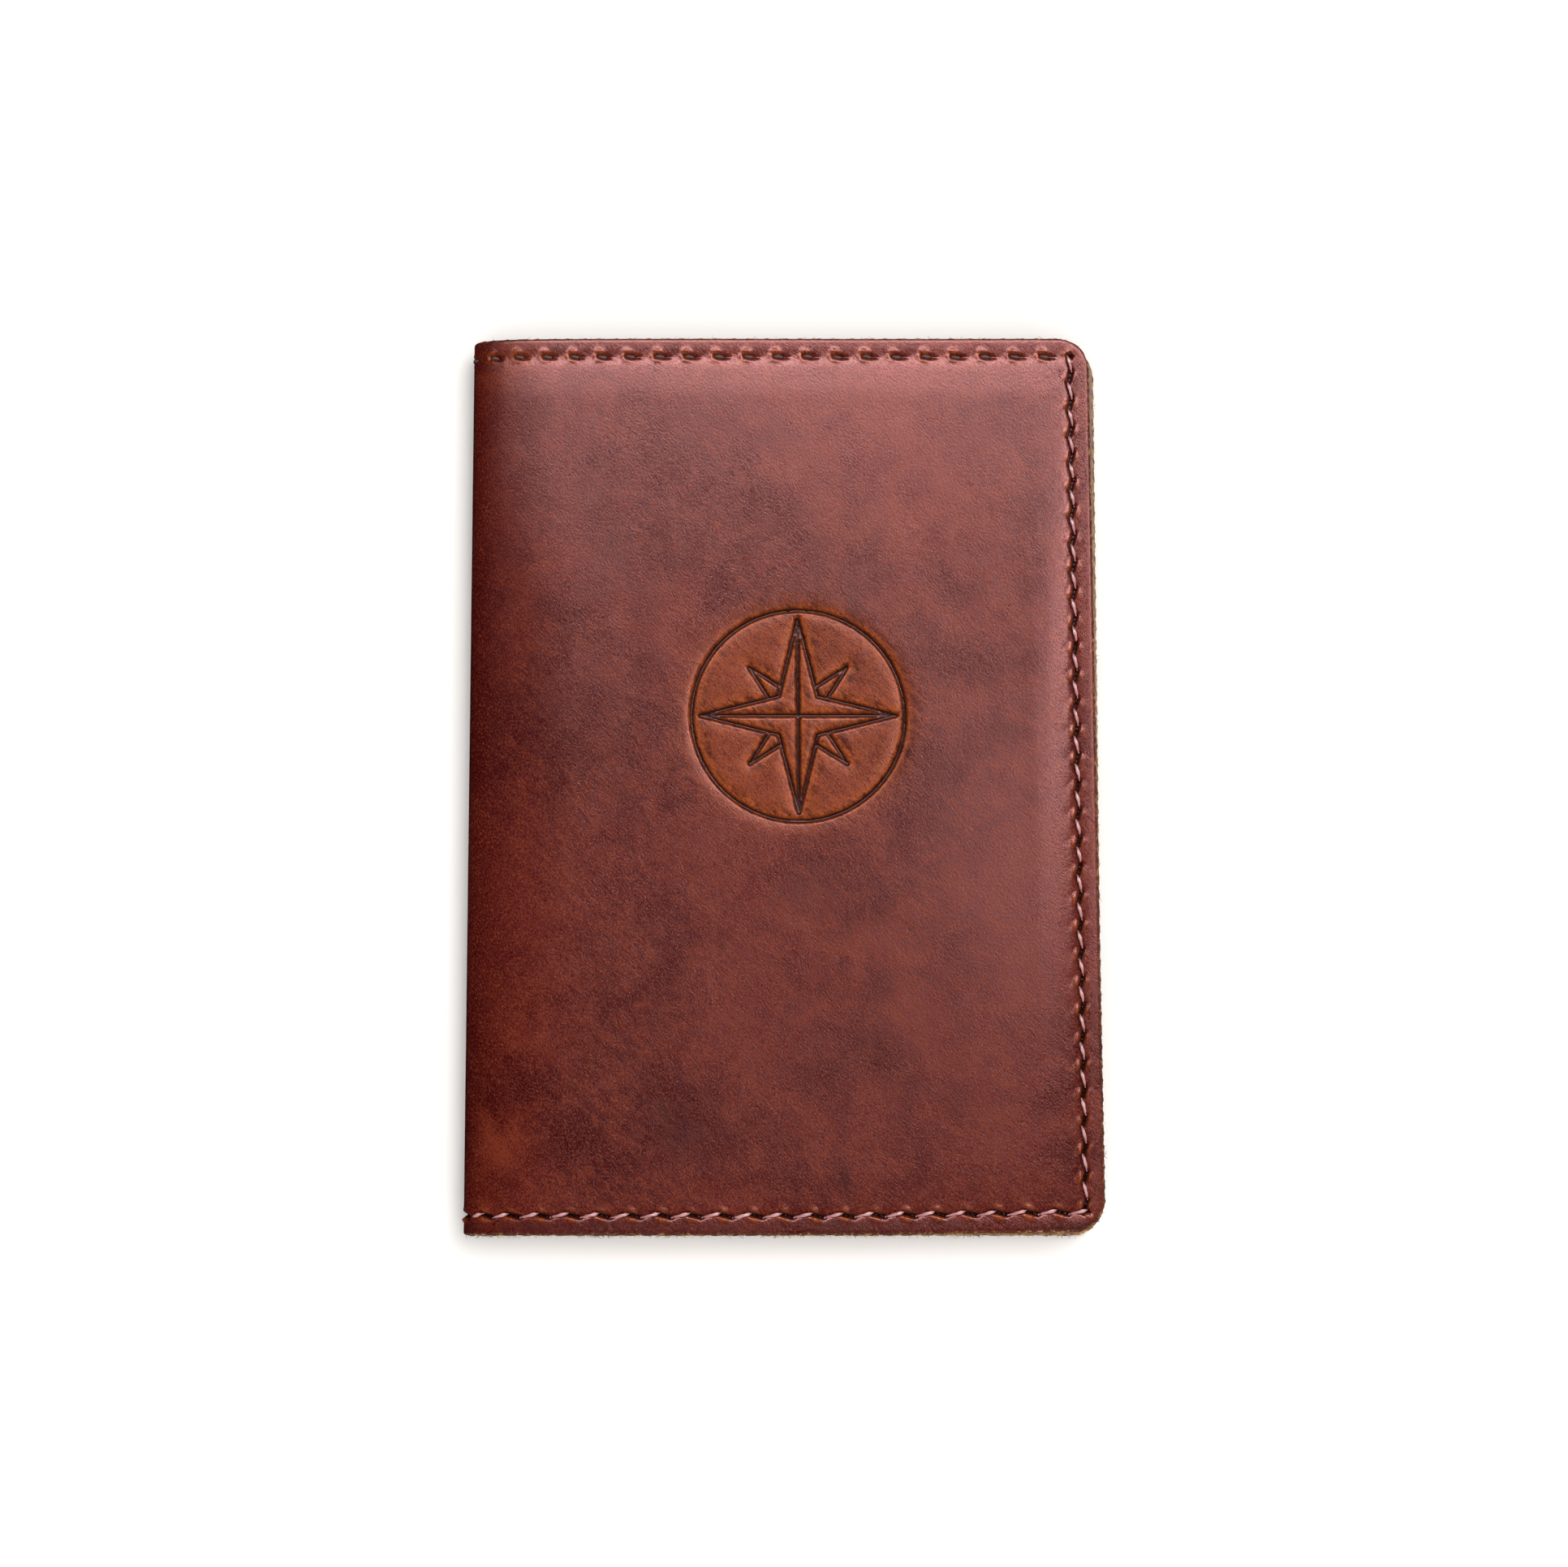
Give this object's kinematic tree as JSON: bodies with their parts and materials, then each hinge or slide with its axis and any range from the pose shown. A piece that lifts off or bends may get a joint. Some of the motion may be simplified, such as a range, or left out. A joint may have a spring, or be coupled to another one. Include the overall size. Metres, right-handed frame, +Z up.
{
  "type": "leather notebook cover",
  "caption": "Hand-stitched leather cover that folds round a stapled pocket booklet, with a stamped compass rose and an inner sleeve for each card cover.",
  "frame": {"origin": "middle of the closed cover's footprint, on the face that it rests on", "axes": "+Z up out of the front panel, +Y towards the head of the book, +X from the spine towards the fore edge"},
  "size_m": [0.101, 0.144, 0.0099],
  "materials": {
    "grain_leather": "waxed pull-up, semi-gloss with pale pulled edges",
    "sleeve_leather": "matte, lightly napped",
    "waxed_thread": "waxed, tone on tone",
    "kraft_card": "matte kraft",
    "paper": "matte uncoated",
    "staple_wire": "bright wire"
  },
  "bodies": {
    "back_cover": {"back_panel": "grain_leather", "back_sleeve": "sleeve_leather", "back_face_thread": "waxed_thread", "back_lining_thread": "waxed_thread", "back_card": "kraft_card"},
    "spine": {"spine_strip": "grain_leather", "front_spine_bend": "grain_leather", "back_spine_bend": "grain_leather", "spine_head_thread": "waxed_thread", "spine_tail_thread": "waxed_thread", "card_spine": "kraft_card", "leaf_fold": "paper", "head_staple": "staple_wire", "tail_staple": "staple_wire"},
    "front_cover": {"front_panel": "grain_leather", "front_sleeve": "sleeve_leather", "front_face_thread": "waxed_thread", "front_lining_thread": "waxed_thread", "front_card": "kraft_card"},
    "back_leaves": {"back_leaf_block": "paper"},
    "front_leaves": {"front_leaf_block": "paper"}
  },
  "joints": [
    {"name": "back_fold", "type": "hinge", "parent": "back_cover", "child": "spine", "pos_m": [-0.04881, 0, 0.00169], "axis": [0, -1, 0], "range_deg": [0, 90], "deforming": ["back_spine_bend", "front_spine_bend", "spine_head_thread", "spine_tail_thread", "card_spine"]},
    {"name": "front_fold", "type": "hinge", "parent": "spine", "child": "front_cover", "pos_m": [-0.04881, 0, 0.00821], "axis": [0, -1, 0], "range_deg": [0, 90]},
    {"name": "back_leaf_turn", "type": "hinge", "parent": "spine", "child": "back_leaves", "pos_m": [-0.04695, 0, 0.00355], "axis": [0, 1, 0], "range_deg": [0, 90]},
    {"name": "front_leaf_turn", "type": "hinge", "parent": "spine", "child": "front_leaves", "pos_m": [-0.04695, 0, 0.00635], "axis": [0, -1, 0], "range_deg": [0, 90]}
  ],
  "couplings": [
    {"joint": "front_fold", "follows": "back_fold", "ratio": 1},
    {"joint": "back_leaf_turn", "follows": "back_fold", "ratio": 1},
    {"joint": "front_leaf_turn", "follows": "back_fold", "ratio": 1}
  ]
}
